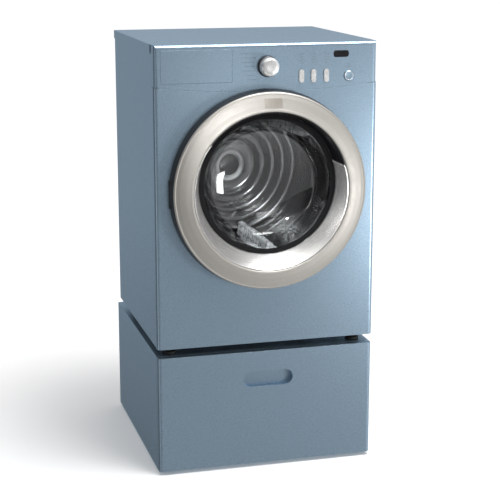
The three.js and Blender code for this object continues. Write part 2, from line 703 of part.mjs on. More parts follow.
function drawerRail(side) {
  const [inner, outer] = [306, HALF_W - 1 - SHEET - GAP];
  const [web, low, high] = [outer - 5, 120, 160];
  const channel = polygon([[inner, low], [outer, low], [outer, high], [inner, high], [inner, high - 4],
    [web, high - 4], [web, low + 4], [inner, low + 4]]);
  const bar = extruded(channel, 600);
  bar.rotateX(Math.PI / 2);
  bar.translate(0, 340, 0);
  if (side < 0) bar.scale(-1, 1, 1);
  return bar;
}

// ---- Assembly ----

const washer = new THREE.Group();

const cabinet = groupAt(washer, [0, 0, 0]);
place(cabinet, 'cabinet_shell', cabinetShell(), BLUE);
place(cabinet, 'worktop', worktop(), BLUE);
place(cabinet, 'front_panel', frontPanel(), BLUE);
place(cabinet, 'console_fascia', consoleFascia(), BLUE);
place(cabinet, 'rear_access_panel', rearAccessPanel(), ZINC);
place(cabinet, 'base_frame', baseFrame(), ZINC);
place(cabinet, 'door_gasket', doorGasket(), RUBBER);
place(cabinet, 'inlet_valve', inletValve(), WHITE);
place(cabinet, 'cord_gland', cordGland(), BLACK, [GLAND_X, 0, VALVE_Z]);
place(cabinet, 'control_board', controlBoard(), BOARD);
place(cabinet, 'dispenser_housing', dispenserHousing(), WHITE);
place(cabinet, 'display_lens', displayLens(), BLACK, [DISPLAY.x, FRONT_Y, DISPLAY.z]);
place(cabinet, 'drain_pump', drainPump(), WHITE, PUMP_AT);

const corners = [['front_left', -1, 'front'], ['front_right', 1, 'front'], ['rear_left', -1, 'rear'],
  ['rear_right', 1, 'rear']];
for (const [corner, side, end] of corners) {
  place(cabinet, `washer_foot_${corner}`, foot(PEDESTAL_H, BODY_Z - GAP), RUBBER,
    [side * WASHER_FOOT_AT.x, WASHER_FOOT_AT[end], 0]);
}

const hanging = groupAt(cabinet, [0, 0, DOOR_Z]);
place(hanging, 'tub_front', tubFront(), WHITE);
place(hanging, 'tub_rear', tubRear(), WHITE);
place(hanging, 'drum_bearing', drumBearing(), ZINC);
place(hanging, 'counterweight', counterweight(), IRON);
place(hanging, 'drive_belt', driveBelt(), RUBBER);
place(cabinet, 'drive_motor', driveMotor(), IRON, [MOTOR_AT[0], 0, MOTOR_AT[1]]);
for (const [name, side] of [['left', -1], ['right', 1]]) {
  place(cabinet, `tub_spring_${name}`, tubSpring(), ZINC, [side * SPRING_X, 0, 0]);
  place(cabinet, `tub_damper_${name}`, tubDamper(side), IRON);
}

const drum = groupAt(washer, [0, 0, DOOR_Z]);
place(drum, 'drum_shell', drumShell(), STAINLESS);
place(drum, 'drum_back', drumBack(), STAINLESS);
place(drum, 'drum_shaft', drumShaft(), ZINC);
place(drum, 'drum_hub_cap', drumHubCap(), CHROME);
place(drum, 'drum_pulley', pulley(DRUM_PULLEY_R, SHAFT_R + GAP, ROUND), ZINC);
LIFTER_ANGLES.forEach((degrees, i) => {
  const lifter = place(drum, `drum_lifter_${i + 1}`, drumLifter(), STAINLESS);
  lifter.rotation.y = -THREE.MathUtils.degToRad(degrees + 90);
});
place(washer, 'motor_pulley', rod(MOTOR_PULLEY_R, PULLEY_Y), ZINC,
  [MOTOR_AT[0], 0, MOTOR_AT[1]]);

const doorPlane = groupAt(washer, [0, FRONT_Y, DOOR_Z]);
place(doorPlane, 'door_frame', doorFrame(), BLACK);
place(doorPlane, 'door_trim_ring', doorTrimRing(), SILVER);
place(doorPlane, 'door_inner_cone', doorInnerCone(), SILVER);
place(doorPlane, 'door_glass', doorGlass(), GLASS);
place(doorPlane, 'door_strike', doorStrike(), ZINC, [STRIKE_X, 0, 0]);
place(doorPlane, 'hinge_leaf', hingeLeaf(), BLACK);
place(doorPlane, 'hinge_bracket', hingeBracket(), BLACK);
place(doorPlane, 'hinge_pin', hingePin(), ZINC);
place(doorPlane, 'door_latch', doorLatch(), BLACK);

const controls = groupAt(washer, [0, FRONT_Y, 0]);
place(controls, 'program_knob', programKnob(), SILVER, [0, 0, KNOB_Z]);
BUTTON_X.forEach((x, i) => {
  place(controls, `option_button_${i + 1}`, optionButton(), SILVER, [x, 0, BUTTON_Z]);
});
place(controls, 'start_button', startButton(), SILVER, [START_AT[0], 0, START_AT[1]]);
place(washer, 'dispenser_drawer', dispenserDrawer(), BLUE);

const pedestal = groupAt(washer, [0, 0, 0]);
place(pedestal, 'pedestal_shell', pedestalShell(), BLUE);
place(pedestal, 'pedestal_drawer_front', pedestalDrawerFront(), BLUE);
place(pedestal, 'pedestal_drawer_box', pedestalDrawerBox(), ZINC);
place(pedestal, 'drawer_rail_left', drawerRail(-1), ZINC);
place(pedestal, 'drawer_rail_right', drawerRail(1), ZINC);
for (const [corner, side, end] of corners) {
  place(pedestal, `pedestal_foot_${corner}`, foot(0, PEDESTAL_Z - GAP), RUBBER,
    [side * PEDESTAL_FOOT_AT.x, PEDESTAL_FOOT_AT[end], 0]);
}

export default washer;
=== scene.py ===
import json
import math

import bmesh
import bpy
from mathutils import Matrix, Vector


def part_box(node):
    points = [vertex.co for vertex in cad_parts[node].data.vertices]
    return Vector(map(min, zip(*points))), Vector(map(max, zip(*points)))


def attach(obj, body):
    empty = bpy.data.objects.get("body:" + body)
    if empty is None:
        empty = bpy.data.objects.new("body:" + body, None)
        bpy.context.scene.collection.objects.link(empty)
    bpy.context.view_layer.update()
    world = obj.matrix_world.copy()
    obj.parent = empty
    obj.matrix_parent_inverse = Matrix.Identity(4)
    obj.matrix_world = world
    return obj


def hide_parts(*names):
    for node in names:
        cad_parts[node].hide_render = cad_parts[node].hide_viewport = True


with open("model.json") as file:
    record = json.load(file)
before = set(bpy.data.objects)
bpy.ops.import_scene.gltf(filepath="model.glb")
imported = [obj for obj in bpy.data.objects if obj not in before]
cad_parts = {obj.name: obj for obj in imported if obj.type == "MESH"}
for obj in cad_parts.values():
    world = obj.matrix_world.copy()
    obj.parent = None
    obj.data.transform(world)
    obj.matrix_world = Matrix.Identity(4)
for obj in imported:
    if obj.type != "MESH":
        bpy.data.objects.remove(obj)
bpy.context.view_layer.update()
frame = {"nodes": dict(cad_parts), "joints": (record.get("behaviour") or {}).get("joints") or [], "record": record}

MM = 0.001
NODES = frame["nodes"]
JOINTS = {joint["name"]: joint for joint in frame["joints"]}
SLOT_OF = {part["node"]: part["material_slot"] for part in frame["record"]["subparts"]}
BODY_OF = {node: body for body, nodes in frame["record"]["behaviour"]["bodies"].items() for node in nodes}
FRONT_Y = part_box("front_panel")[0].y
DOOR_Z = JOINTS["drum_spin"]["pos_m"][2]
KNOB_Z = JOINTS["knob_turn"]["pos_m"][2]
DOOR_AT = (0, DOOR_Z)
KNOB_AT = (0, KNOB_Z)
GLASS_RISE = 16.0  # how far the glass sits above the centre of the door ring, in millimetres


# ---- Materials ----

class Look:
    """A Principled material with helpers for the procedural detail that most finishes share."""

    def __init__(self, name, color, roughness, metallic=0.0, **sockets):
        self.mat = bpy.data.materials.new(name)
        self.mat.use_nodes = True
        self.tree = self.mat.node_tree
        self.bsdf = self.tree.nodes["Principled BSDF"]
        self.bsdf.inputs["Base Color"].default_value = (*color, 1)
        self.bsdf.inputs["Roughness"].default_value = roughness
        self.bsdf.inputs["Metallic"].default_value = metallic
        self.bsdf.inputs["Emission Color"].default_value = (*color, 1)
        for socket, value in sockets.items():
            self.bsdf.inputs[socket.replace("_", " ")].default_value = value
        self.color = color
        self.roughness = roughness

    def node(self, kind, **values):
        made = self.tree.nodes.new(kind)
        for key, value in values.items():
            if key in made.inputs:
                made.inputs[key].default_value = value
            else:
                setattr(made, key, value)
        return made

    def link(self, out, into):
        self.tree.links.new(out, into)

    def coords(self, scale=(1, 1, 1), kind="Object"):
        mapping = self.node("ShaderNodeMapping", Scale=scale)
        self.link(self.node("ShaderNodeTexCoord").outputs[kind], mapping.inputs["Vector"])
        return mapping.outputs["Vector"]

    def noise(self, scale, detail=3.0, stretch=(1, 1, 1), kind="Object"):
        texture = self.node("ShaderNodeTexNoise", Scale=scale, Detail=detail)
        self.link(self.coords(stretch, kind), texture.inputs["Vector"])
        return texture.outputs["Fac"]

    def spread(self, source, low, high, from_low=0.3, from_high=0.7):
        span = self.node("ShaderNodeMapRange")
        limits = {"From Min": from_low, "From Max": from_high, "To Min": low, "To Max": high}
        for socket, value in limits.items():
            span.inputs[socket].default_value = value
        self.link(source, span.inputs["Value"])
        return span.outputs["Result"]

    def tint(self, source, low, high, from_low=0.3, from_high=0.7):
        """Base colour that runs between the colour times low and the colour times high."""
        mix = self.node("ShaderNodeMix", data_type="RGBA")
        mix.inputs[6].default_value = (*[c * low for c in self.color], 1)
        mix.inputs[7].default_value = (*[c * high for c in self.color], 1)
        self.link(self.spread(source, 0, 1, from_low, from_high), mix.inputs[0])
        self.link(mix.outputs[2], self.bsdf.inputs["Base Color"])

    def vary_roughness(self, source, spread):
        varied = self.spread(source, self.roughness - spread, self.roughness + spread)
        self.link(varied, self.bsdf.inputs["Roughness"])

    def bump(self, source, distance, strength=1.0):
        bump = self.node("ShaderNodeBump", Strength=strength, Distance=distance)
        self.link(source, bump.inputs["Height"])
        self.link(bump.outputs["Normal"], self.bsdf.inputs["Normal"])


def painted_metal():
    look = Look("glacier_blue_enamel", (0.290, 0.392, 0.488), 0.29, 0.82, Specular_Tint=(0.70, 0.86, 1.0, 1))
    look.tint(look.noise(900.0, 2), 0.93, 1.07)
    look.vary_roughness(look.noise(700.0, 2), 0.04)
    look.bump(look.noise(260.0, 3), 0.00003)
    return look.mat


def silver_paint():
    look = Look("satin_silver", (0.365, 0.35, 0.326), 0.50, 0.70)
    look.tint(look.noise(420.0, 2), 0.95, 1.04)
    look.vary_roughness(look.noise(60.0, 3), 0.04)
    look.bump(look.noise(700.0, 2), 0.00003)
    return look.mat


def badge_silver():
    look = Look("badge_silver", (0.33, 0.305, 0.275), 0.40, 0.75)
    look.tint(look.noise(500.0, 2), 0.93, 1.05)
    return look.mat


def bright_silver():
    """Satin plated plastic of the knob and the push buttons."""
    look = Look("bright_silver", (0.74, 0.74, 0.735), 0.26, 0.75)
    look.tint(look.noise(350.0, 2), 0.96, 1.03)
    look.vary_roughness(look.noise(80.0, 2), 0.04)
    return look.mat


def lifter_steel():
    look = Look("lifter_steel", (0.66, 0.66, 0.67), 0.28, 0.55)
    look.tint(look.noise(1.0, 3, (300, 20, 300)), 0.90, 1.06)
    look.vary_roughness(look.noise(70.0, 3), 0.05)
    return look.mat


def cone_silver():
    look = Look("polished_silver", (0.80, 0.79, 0.775), 0.27, 0.86)
    return look.mat


def chrome():
    look = Look("bright_chrome", (0.86, 0.86, 0.85), 0.12, 0.6)
    look.vary_roughness(look.noise(40.0, 2), 0.03)
    return look.mat


def shaded_drum_steel():
    """Drum wall: polished sheet, brushed round the circumference, with a dark base colour that is painted shade
    for the inside of the drum, and rows of perforations painted as near-black dots with a bump: painted shade in
    the holes.
    """
    # Dark base colour: painted shade for the inside of the drum.
    look = Look("shaded_drum_steel", (0.17, 0.17, 0.17), 0.18, 1.0)
    streaks = look.noise(1.0, 3, (5, 260, 1), "UV")
    look.vary_roughness(streaks, 0.09)
    rows, columns = 44, 120
    cells = look.node("ShaderNodeTexVoronoi", feature="F1")
    cells.voronoi_dimensions = "2D"
    cells.inputs["Randomness"].default_value = 0.0
    cells.inputs["Scale"].default_value = 1.0
    look.link(look.coords((columns, rows, 1), "UV"), cells.inputs["Vector"])
    hole = look.spread(cells.outputs["Distance"], 0, 1, 0.12, 0.18)
    # Near-black colour in the perforations: painted shade in the holes.
    dark = look.node("ShaderNodeMix", data_type="RGBA")
    dark.inputs[6].default_value = (0.02, 0.02, 0.022, 1)
    dark.inputs[7].default_value = (*look.color, 1)
    look.link(hole, dark.inputs[0])
    look.link(dark.outputs[2], look.bsdf.inputs["Base Color"])
    look.bump(hole, 0.0006, 0.7)
    return look.mat


def shaded_spun_steel():
    """Rear wall of the drum: spun sheet with fine circular brushing, and a dark base colour that is painted shade
    for the back of the drum.
    """
    # Dark base colour: painted shade for the back of the drum.
    look = Look("shaded_spun_steel", (0.14, 0.14, 0.14), 0.18, 1.0)
    rings = look.noise(1.0, 4, (3, 300, 1), "UV")
    look.tint(rings, 0.80, 1.15)
    look.vary_roughness(rings, 0.07)
    return look.mat


def brushed_steel():
    look = Look("brushed_steel", (0.58, 0.59, 0.60), 0.27, 1.0)
    look.tint(look.noise(1.0, 4, (25, 25, 700)), 0.88, 1.08)
    look.vary_roughness(look.noise(1.0, 3, (30, 30, 900)), 0.08)
    return look.mat


def zinc_plate():
    look = Look("zinc_plate", (0.50, 0.51, 0.52), 0.42, 0.95)
    look.tint(look.noise(28.0, 5), 0.82, 1.12)
    look.vary_roughness(look.noise(45.0, 4), 0.10)
    look.bump(look.noise(220.0, 3), 0.00005)
    return look.mat


def cast_iron():
    look = Look("dark_casting", (0.085, 0.09, 0.095), 0.66, 0.5)
    look.tint(look.noise(90.0, 5), 0.7, 1.4)
    look.bump(look.noise(300.0, 4), 0.0003)
    return look.mat


def black_plastic():
    look = Look("black_moulding", (0.012, 0.013, 0.015), 0.40)
    look.vary_roughness(look.noise(120.0, 3), 0.08)
    look.bump(look.noise(1500.0, 2), 0.00003)
    return look.mat


def gloss_black():
    look = Look("gloss_black", (0.005, 0.005, 0.006), 0.24, 0.0, Specular_IOR_Level=0.35)
    look.vary_roughness(look.noise(30.0, 2), 0.04)
    return look.mat


def mask_black():
    """Printed border of the glass: matt, so that it stays black."""
    look = Look("mask_black", (0.004, 0.004, 0.0045), 0.7, 0.0, Specular_IOR_Level=0.1)
    look.vary_roughness(look.noise(30.0, 2), 0.05)
    return look.mat


def rubber():
    look = Look("grey_rubber", (0.016, 0.0165, 0.018), 0.66, 0.0, Specular_IOR_Level=0.3)
    look.tint(look.noise(70.0, 4), 0.75, 1.3)
    look.bump(look.noise(900.0, 3), 0.00008)
    return look.mat


def white_plastic():
    look = Look("white_moulding", (0.80, 0.80, 0.785), 0.42)
    look.tint(look.noise(12.0, 3), 0.97, 1.02)
    look.bump(look.noise(1200.0, 2), 0.00003)
    return look.mat


def circuit_board():
    look = Look("circuit_board", (0.02, 0.11, 0.05), 0.45)
    tracks = look.node("ShaderNodeTexBrick", Scale=60.0)
    look.link(look.coords(), tracks.inputs["Vector"])
    look.tint(tracks.outputs["Fac"], 0.7, 1.5)
    return look.mat


def print_grey():
    look = Look("panel_print", (0.10, 0.125, 0.15), 0.5)
    look.tint(look.noise(200.0, 2), 0.9, 1.1)
    return look.mat


def clear_glass():
    """Clear moulded glass that lets lamps through, so that the drum behind it is lit."""
    look = Look("door_glass", (0.93, 0.95, 0.96), 0.02, 0.0, Transmission_Weight=1.0, IOR=1.46)
    clear = look.node("ShaderNodeBsdfTransparent")
    clear.inputs["Color"].default_value = (0.92, 0.94, 0.95, 1)
    mix = look.node("ShaderNodeMixShader")
    look.link(look.node("ShaderNodeLightPath").outputs["Is Shadow Ray"], mix.inputs[0])
    look.link(look.bsdf.outputs["BSDF"], mix.inputs[1])
    look.link(clear.outputs["BSDF"], mix.inputs[2])
    look.link(mix.outputs["Shader"], look.tree.nodes["Material Output"].inputs["Surface"])
    return look.mat


PAINT = painted_metal()
SILVER = silver_paint()
CONE = cone_silver()
BADGE = badge_silver()
BRIGHT = bright_silver()
LIFTER = lifter_steel()
CHROME = chrome()
SHADED_DRUM = shaded_drum_steel()
SHADED_SPUN = shaded_spun_steel()
MASK = mask_black()
STEEL = brushed_steel()
ZINC = zinc_plate()
IRON = cast_iron()
BLACK = black_plastic()
GLOSS = gloss_black()
RUBBER = rubber()
WHITE = white_plastic()
BOARD = circuit_board()
PRINT = print_grey()
GLASS = clear_glass()
SLOT_LOOKS = {
    "painted_blue": PAINT, "brushed_silver": SILVER, "chrome_cap": CHROME, "stainless": STEEL,
    "black_plastic": BLACK, "dark_display": GLOSS, "grey_rubber": RUBBER, "door_glass": GLASS,
    "white_plastic": WHITE, "zinc_steel": ZINC, "cast_metal": IRON, "green_board": BOARD,
}
for node_name, node_object in NODES.items():
    node_object.data.materials.clear()
    node_object.data.materials.append(SLOT_LOOKS[SLOT_OF[node_name]])


# ---- Mesh helpers ----

def link_mesh(name, mesh, look, angle=32):
    mesh.materials.append(look)
    mesh.shade_smooth()
    mesh.set_sharp_from_angle(angle=math.radians(angle))
    piece = bpy.data.objects.new(name, mesh)
    bpy.context.scene.collection.objects.link(piece)
    return piece


def from_bmesh(name, bm, look, angle=32):
    bmesh.ops.recalc_face_normals(bm, faces=bm.faces)
    mesh = bpy.data.meshes.new(name)
    bm.to_mesh(mesh)
    bm.free()
    return link_mesh(name, mesh, look, angle)


def stands_for(piece, *nodes, slot=None):
    """piece rides with the nodes' body and is shown in their place."""
    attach(piece, BODY_OF[nodes[0]])
    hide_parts(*nodes)
    return piece


def detail(piece, body, slot):
    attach(piece, body)
    return piece


def rounded(profile, steps=6):
    """Turns [(a, b, radius), ...] into an outline whose corners are arcs of that radius."""
    outline = []
    count = len(profile)
    for i, (a, b, *radius) in enumerate(profile):
        corner = Vector((a, b))
        if not radius or radius[0] <= 0:
            outline.append(corner)
            continue
        before = Vector(profile[i - 1][:2]) - corner
        after = Vector(profile[(i + 1) % count][:2]) - corner
        half = before.angle(after) / 2
        reach = min(radius[0] / math.tan(half), before.length * 0.49, after.length * 0.49)
        size = reach * math.tan(half)
        centre = corner + (before.normalized() + after.normalized()).normalized() * (size / math.sin(half))
        start = corner + before.normalized() * reach - centre
        end = corner + after.normalized() * reach - centre
        sweep = start.angle_signed(end)
        for k in range(steps + 1):
            turn = Matrix.Rotation(-sweep * k / steps, 2)
            outline.append(centre + turn @ start)
    return [tuple(point) for point in outline]


def spline(points, steps=6):
    """A smooth Catmull-Rom curve through the points."""
    ends = [points[0], *points, points[-1]]
    smooth = []
    for p0, p1, p2, p3 in zip(ends, ends[1:], ends[2:], ends[3:]):
        for k in range(steps):
            t = k / steps
            smooth.append(tuple(
                0.5 * (2 * b + (c - a) * t
                       + (2 * a - 5 * b + 4 * c - d) * t * t
                       + (3 * b - a - 3 * c + d) * t ** 3)
                for a, b, c, d in zip(p0, p1, p2, p3)))
    smooth.append(points[-1])
    return smooth


def lathe(name, profile, look, at, segments=160, sweep=(0, 360), rise=None, axis="Y", angle=32):
    """Turns a closed profile of (radius, depth) in millimetres. Depth runs back from the front panel on Y,
    or up on Z. at is the axis' place in metres: (x, z) on axis Y and (x, y) on axis Z. rise moves a depth up,
    in millimetres."""
    whole = sweep[1] - sweep[0] == 360
    bm = bmesh.new()
    uv = bm.loops.layers.uv.new("UVMap")
    lengths = [0.0]
    for (r0, y0), (r1, y1) in zip(profile, profile[1:]):
        lengths.append(lengths[-1] + math.hypot(r1 - r0, y1 - y0))
    rings = []
    for k in range(segments if whole else segments + 1):
        turn = math.radians(sweep[0] + (sweep[1] - sweep[0]) * k / segments)
        ring = []
        for r, depth in profile:
            across, up = r * math.cos(turn) * MM, r * math.sin(turn) * MM
            if axis == "Y":
                lift = rise(depth) * MM if rise else 0
                ring.append(bm.verts.new((at[0] + across, FRONT_Y + depth * MM, at[1] + up + lift)))
            else:
                ring.append(bm.verts.new((at[0] + across, at[1] + up, depth * MM)))
        rings.append(ring)
    pairs = list(zip(rings, rings[1:] + ([rings[0]] if whole else [])))
    if not whole:
        pairs = pairs[:segments]
    count = len(profile)
    for k, (one, two) in enumerate(pairs):
        for i in range(count):
            j = (i + 1) % count
            face = bm.faces.new((one[i], one[j], two[j], two[i]))
            spans = (lengths[i], lengths[j] if j else lengths[-1])
            places = ((k, spans[0]), (k, spans[1]), (k + 1, spans[1]), (k + 1, spans[0]))
            for loop, (u, v) in zip(face.loops, places):
                loop[uv].uv = (u / segments, v / max(lengths[-1], 1))
    if not whole:
        bm.faces.new(rings[0])
        bm.faces.new(reversed(rings[-1]))
    bmesh.ops.remove_doubles(bm, verts=bm.verts, dist=1e-6)
    return from_bmesh(name, bm, look, angle)


def refined(name, node, bevel, look=None, keep=None, segments=3):
    """A finer copy of a plain CAD node: flat faces merged and its sharp edges rounded by bevel,
    in millimetres. keep picks the faces to take, by their centre."""
    bm = bmesh.new()
    bm.from_mesh(NODES[node].data)
    bmesh.ops.remove_doubles(bm, verts=bm.verts, dist=1e-6)
    if keep:
        bmesh.ops.delete(bm, geom=[f for f in bm.faces if not keep(f.calc_center_median())], context="FACES")
    bmesh.ops.dissolve_limit(bm, angle_limit=math.radians(0.5), verts=bm.verts, edges=bm.edges)
    piece = from_bmesh(name, bm, look or SLOT_LOOKS[SLOT_OF[node]], 50)
    modifier = piece.modifiers.new("edge_radius", "BEVEL")
    modifier.width = bevel * MM
    modifier.segments = segments
    modifier.limit_method = "ANGLE"
    modifier.angle_limit = math.radians(40)
    flat = piece.modifiers.new("flat_faces", "WEIGHTED_NORMAL")
    flat.weight = 100
    flat.keep_sharp = True
    return piece


def slab(name, size, look, at, bevel=0.5, tilt=0.0):
    """A thin plate with rounded edges. size and bevel are in millimetres, at in metres, and tilt in degrees
    about X."""
    bm = bmesh.new()
    bmesh.ops.create_cube(bm, size=1.0)
    bmesh.ops.scale(bm, vec=[s * MM for s in size], verts=bm.verts)
    bmesh.ops.bevel(bm, geom=bm.edges[:], offset=bevel * MM, segments=3, affect="EDGES", profile=0.5)
    bmesh.ops.rotate(bm, cent=(0, 0, 0), matrix=Matrix.Rotation(math.radians(tilt), 3, "X"), verts=bm.verts)
    bmesh.ops.translate(bm, vec=at, verts=bm.verts)
    return from_bmesh(name, bm, look)


# ---- Cabinet and pedestal panels ----

# How far each panel's edges are rounded, in millimetres
PANEL_EDGES = {
    "cabinet_shell": 0.8, "worktop": 3.0, "front_panel": 0.35, "console_fascia": 0.4,
    "pedestal_shell": 0.8, "pedestal_drawer_front": 1.4, "rear_access_panel": 0.6,
}


def panels():
    for node, bevel in PANEL_EDGES.items():
        stands_for(refined(f"{node}_fine", node, bevel), node)


def dispenser():
    split = FRONT_Y + 3.1 * MM
    front = refined("dispenser_front", "dispenser_drawer", 0.4, PAINT, lambda centre: centre.y < split)
    stands_for(front, "dispenser_drawer")
    tray = refined("dispenser_tray", "dispenser_drawer", 0.6, WHITE, lambda centre: centre.y >= split)
    detail(tray, "dispenser", "white_plastic")


# ---- Door ----

CONE_DEPTHS = (-55.0, -6.3)  # the cone's front edge and its edge at the glass, in millimetres
BOWL_DEPTH = 111.8
BOWL_FRONT = 5.8
BOWL_DROP = 12.0  # how far the bowl's back sits below its front


def cone_rise(depth):
    low, high = CONE_DEPTHS
    return GLASS_RISE * (depth - low) / (high - low)


def glass_rise(depth):
    return GLASS_RISE - BOWL_DROP * (depth + BOWL_FRONT) / BOWL_DEPTH


def door():
    frame_outline = rounded([
        (222, -1.6), (302.8, -1.6, 1.0), (298.4, -37.9, 1.2),
        (294.7, -37.9, 0.6), (298.2, -5.0, 2.0), (222, -5.0)])
    stands_for(lathe("door_side_wall", frame_outline, BLACK, DOOR_AT), "door_frame")

    ring = rounded([
        (297.4, -38.7, 0.5), (297.2, -42.2, 2.2), (293.6, -45.6, 1.0), (290.6, -45.0, 1.4), (280, -49.6, 30),
        (262, -54.6, 30), (248.5, -57.0, 1.2), (246.6, -57.9, 1.0), (242.0, -57.9, 1.6), (239.1, -54.6, 0.8),
        (240.4, -53.6, 0.4), (248, -54.4), (262, -51.8), (280, -46.4), (290, -41.4), (293.6, -38.7, 0.4)])
    stands_for(lathe("door_ring", ring, SILVER, DOOR_AT, segments=220, angle=24), "door_trim_ring")

    # Width in degrees of each painted highlight strip on the cone.
    glint_width = 1.5
    left, right = 143, 18
    cone = rounded([(235.9, -55.6, 0.8), (238.4, -55.0, 0.4), (217, -6.4, 0.3), (213.4, -6.4, 0.8)])
    lower = lathe("door_cone_lower", cone, CONE, DOOR_AT, sweep=(left, 360 + right - glint_width), rise=cone_rise)
    stands_for(lower, "door_inner_cone")
    glint_outline = [(r - 0.8, depth) for r, depth in cone]
    # The cone's top, between the right and left marks, is gloss black: painted shade where the cone lies in
    # shadow.
    shaded_top = lathe("door_cone_painted_shade", cone, GLOSS, DOOR_AT, sweep=(right, left - glint_width), rise=cone_rise)
    detail(shaded_top, "door", "black_plastic")
    # Thin bright silver strips at both ends of the black top: painted highlights standing in for glints on the
    # cone.
    for name, start in (("right", right - glint_width), ("left", left - glint_width)):
        end = lathe(f"door_cone_painted_glint_{name}", glint_outline, BRIGHT, DOOR_AT,
                    sweep=(start + 0.05, start + glint_width - 0.05), rise=cone_rise, segments=4)
        detail(end, "door", "brushed_silver")

    outer = spline([
        (201, -1.9), (196, 18), (189, 44), (176, 68), (152, 87), (112, 99), (60, 104), (0.0, 105.6)])
    inner = spline([
        (0.0, 102), (60, 100.4), (110, 95.5), (148.5, 84), (172, 65.5), (185, 42.5), (192, 17), (197, -5.7)])
    bowl = [(220, -5.7), (220, -1.9), *outer, *inner]
    glass = lathe("door_bowl", bowl, GLASS, DOOR_AT, segments=200, rise=glass_rise, angle=40)
    stands_for(glass, "door_glass")

    rim = rounded([(213, -6.25, 0.1), (199.5, -6.25, 0.1), (198.2, -6.0, 0.1), (198.2, -5.85), (213, -5.85)])
    seat = lathe("door_glass_mask", rim, MASK, DOOR_AT, rise=lambda depth: GLASS_RISE)
    detail(seat, "door", "black_plastic")

    plate_r = 266
    plate_at = (0.003, FRONT_Y - 54.4 * MM, DOOR_Z + plate_r * MM)
    plate = slab("door_plate", (54, 1.0, 29), BADGE, plate_at, 0.4, -12)
    detail(plate, "door", "brushed_silver")


def gasket():
    bellows = spline([
        (228.9, 0.8), (229, 2.6), (231, 3.6), (235.6, 4.2), (235, 7.6), (228, 12), (226, 26), (231, 31),
        (236.4, 36), (236, 41), (227.6, 48), (231, 53), (237.4, 57), (237.4, 63), (233.6, 63), (232.6, 58),
        (221.6, 49), (226, 43), (230.6, 38), (226, 33), (221.4, 28), (219.8, 12), (219.8, 1.6),
        (223, 0.8)], 4)
    stands_for(lathe("door_bellows", bellows[:-1], RUBBER, DOOR_AT), "door_gasket")


# ---- Drum ----

def drum():
    low, high = [round((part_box("drum_shell")[k].y - FRONT_Y) / MM, 3) for k in (0, 1)]
    pitch, height = 33.0, 1.8
    wall = []
    depth = low + 24
    while depth < high - 4:
        wall.append((260.0 - height * (0.5 - 0.5 * math.cos(2 * math.pi * (depth - low) / pitch)), depth))
        depth += pitch / 10
    inside = [(224, low + 2.2), (251.4, low + 6.2), (258.6, low + 13), (260, low + 20), *wall, (260, high)]
    outside = [(262, high), (262, low + 18), (258, low + 9), (252, low + 4), (238, low + 1.4), (224, low)]
    stands_for(lathe("drum_wall", inside + outside, SHADED_DRUM, DOOR_AT, segments=200), "drum_shell")

    face = [(16, high + 0.6), (62, high + 0.6)]
    for ridge in (92, 128, 164, 200, 236):
        for step in range(9):
            share = step / 8
            swell = 0.5 - 0.5 * math.cos(2 * math.pi * share)
            face.append((ridge - 11 + 22 * share, high + 0.6 - 3.2 * swell))
    face += [(259, high + 0.6), (262, high + 0.6), (262, high + 2.9), (16, high + 2.9)]
    stands_for(lathe("drum_rear_wall", face, SHADED_SPUN, DOOR_AT, segments=200), "drum_back")

    back = high - 0.5
    cap = rounded([(0, back - 14), (36, back - 14, 3), (40, back - 17, 2), (45.5, back - 21.9, 4),
                   (54, back - 17, 6), (57.8, back - 6, 4), (57.9, back, 0.5), (0, back)])
    stands_for(lathe("drum_hub", cap, CHROME, DOOR_AT, segments=120), "drum_hub_cap")
    dark = rounded([
        (0, back - 19.5), (22, back - 18.5, 20), (37, back - 15.2, 2), (38, back - 14.1), (0, back - 14.1)])
    disc = lathe("drum_hub_disc", dark, GLOSS, DOOR_AT, segments=80)
    detail(disc, "drum", "black_plastic")


def lifters():
    for number in (1, 2, 3):
        node = f"drum_lifter_{number}"
        stands_for(refined(f"{node}_fine", node, 3.5, LIFTER, segments=4), node)


# ---- Controls ----

def controls():
    skirt = rounded([(0, -0.9), (31.8, -0.9, 0.5), (31.0, -8.4, 2.0), (29.0, -10.6, 0.4), (0, -10.6)])
    stands_for(lathe("knob_skirt", skirt, BLACK, KNOB_AT, segments=120), "program_knob",
               slot="black_plastic")
    cap = [(0, -10.7), (28.3, -10.7), (28.4, -11.2),
           *spline([(28.4, -20), (28.0, -27), (26.0, -32.6), (21.5, -36.2), (13, -37.8), (0, -38.3)])]
    detail(lathe("knob_cap", cap, BRIGHT, KNOB_AT, segments=120), "knob", "brushed_silver")
    pointer = slab("knob_pointer", (1.6, 1.0, 9), PRINT, (0, FRONT_Y - 36.9 * MM, KNOB_Z + 17 * MM), 0.3, 14)
    detail(pointer, "knob", "brushed_silver")

    for number in (1, 2, 3):
        node = f"option_button_{number}"
        button = refined(f"{node}_fine", node, 1.2, BRIGHT)
        stands_for(button, node)
    low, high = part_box("start_button")
    centre = ((low.x + high.x) / 2, (low.z + high.z) / 2)
    start = rounded([(0, -2.0), (10.5, -2.6, 3), (14.0, -2.5, 1), (15.9, -1.0, 1), (15.9, 11.9), (0, 11.9)])
    stands_for(lathe("start_button_fine", start, PAINT, centre, segments=80), "start_button",
               slot="painted_blue")
    rim = rounded([(11.6, -2.62, 0.3), (13.2, -2.72, 0.3), (13.2, -2.2), (11.6, -2.2)])
    detail(lathe("start_button_rim", rim, BRIGHT, centre, segments=80), "start", "brushed_silver")
    stands_for(refined("display_window", "display_lens", 0.3), "display_lens")
    panel_marks()


def mark(name, x, z, width):
    """A printed line on the console, drawn as a very thin raised bar. All three in millimetres."""
    line = slab(name, (width, 0.3, 1.1), PRINT, (x * MM, FRONT_Y - 0.15 * MM, z * MM), 0.1)
    detail(line, "machine", "painted_blue")


